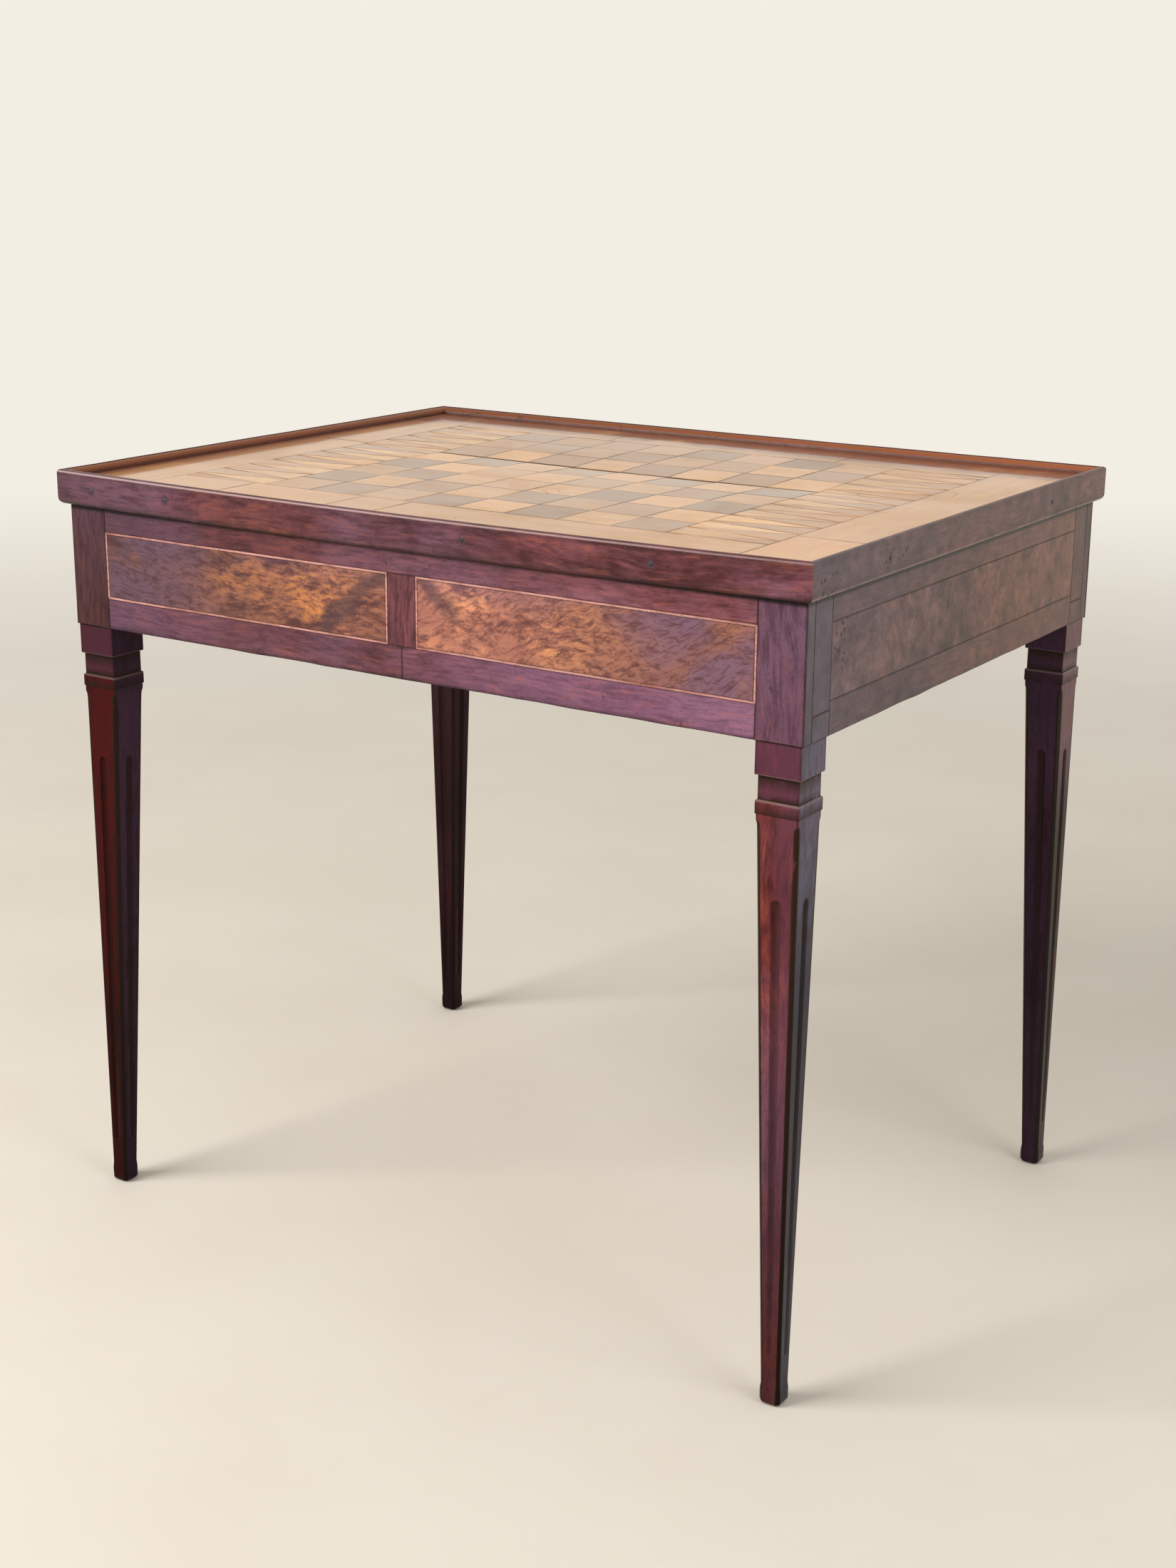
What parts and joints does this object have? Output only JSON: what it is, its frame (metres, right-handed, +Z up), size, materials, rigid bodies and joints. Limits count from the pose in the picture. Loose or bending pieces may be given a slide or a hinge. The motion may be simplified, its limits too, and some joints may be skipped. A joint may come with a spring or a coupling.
{
  "type": "games table",
  "caption": "Square-legged wooden games table with an inlaid chessboard and points on a lift-off tray top over a shallow well, on tapered fluted legs.",
  "frame": {"origin": "on the floor, at the middle of the table", "axes": "+Z up, +X along the length to the right, +Y from the two-panel front towards the back"},
  "size_m": [0.808, 0.61, 0.74],
  "materials": {
    "leg_mahogany": "waxed mahogany, darker towards the foot",
    "rim_mahogany": "waxed mahogany moulding, rubbed bright on its arrises",
    "mahogany_veneer": "straight-grained mahogany veneer, polished",
    "figured_walnut_veneer": "figured walnut veneer with dark clouds, polished",
    "boxwood_stringing": "pale boxwood lines",
    "carcase_oak": "plain oak, planed",
    "peg_oak": "riven oak pegs",
    "light_square_veneer": "tan veneer, polished",
    "dark_square_veneer": "grey-brown veneer, polished",
    "point_veneer": "pale yellow veneer, polished",
    "point_ground_veneer": "honey-tan veneer, polished",
    "border_veneer": "honey-tan veneer, polished",
    "green_cloth": "short-napped woollen cloth",
    "iron_nails": "blackened wrought iron"
  },
  "bodies": {
    "case": {"apron_back": "carcase_oak", "apron_front": "carcase_oak", "apron_left": "carcase_oak", "apron_right": "carcase_oak", "back_bottom_rail_left": "mahogany_veneer", "back_bottom_rail_right": "mahogany_veneer", "back_mullion": "mahogany_veneer", "back_panel_left": "figured_walnut_veneer", "back_panel_right": "figured_walnut_veneer", "back_stringing": "boxwood_stringing", "back_top_rail": "mahogany_veneer", "floor_board_back": "carcase_oak", "floor_board_front": "carcase_oak", "front_bottom_rail_left": "mahogany_veneer", "front_bottom_rail_right": "mahogany_veneer", "front_mullion": "mahogany_veneer", "front_panel_left": "figured_walnut_veneer", "front_panel_right": "figured_walnut_veneer", "front_stringing": "boxwood_stringing", "front_top_rail": "mahogany_veneer", "ledger_back": "carcase_oak", "ledger_front": "carcase_oak", "ledger_left": "carcase_oak", "ledger_right": "carcase_oak", "left_bottom_rail": "mahogany_veneer", "left_panel": "figured_walnut_veneer", "left_top_rail": "mahogany_veneer", "leg_back_left": "leg_mahogany", "leg_back_right": "leg_mahogany", "leg_front_left": "leg_mahogany", "leg_front_right": "leg_mahogany", "right_bottom_rail": "mahogany_veneer", "right_panel": "figured_walnut_veneer", "right_top_rail": "mahogany_veneer", "stile_veneers_back_left": "mahogany_veneer", "stile_veneers_back_right": "mahogany_veneer", "stile_veneers_front_left": "mahogany_veneer", "stile_veneers_front_right": "mahogany_veneer", "tenon_pegs": "peg_oak"},
    "top": {"top_board_front": "carcase_oak", "top_board_back": "carcase_oak", "rim_front": "rim_mahogany", "rim_back": "rim_mahogany", "rim_left": "rim_mahogany", "rim_right": "rim_mahogany", "rim_nails": "iron_nails", "light_squares": "light_square_veneer", "dark_squares": "dark_square_veneer", "left_points": "point_veneer", "left_point_ground": "point_ground_veneer", "right_points": "point_veneer", "right_point_ground": "point_ground_veneer", "border_front": "border_veneer", "border_back": "border_veneer", "border_left": "border_veneer", "border_right": "border_veneer", "underside_cloth": "green_cloth"}
  },
  "joints": [
    {"name": "top_lift", "type": "slide", "parent": "case", "child": "top", "axis": [0, 0, 1], "range_m": [0, 0.2]}
  ]
}
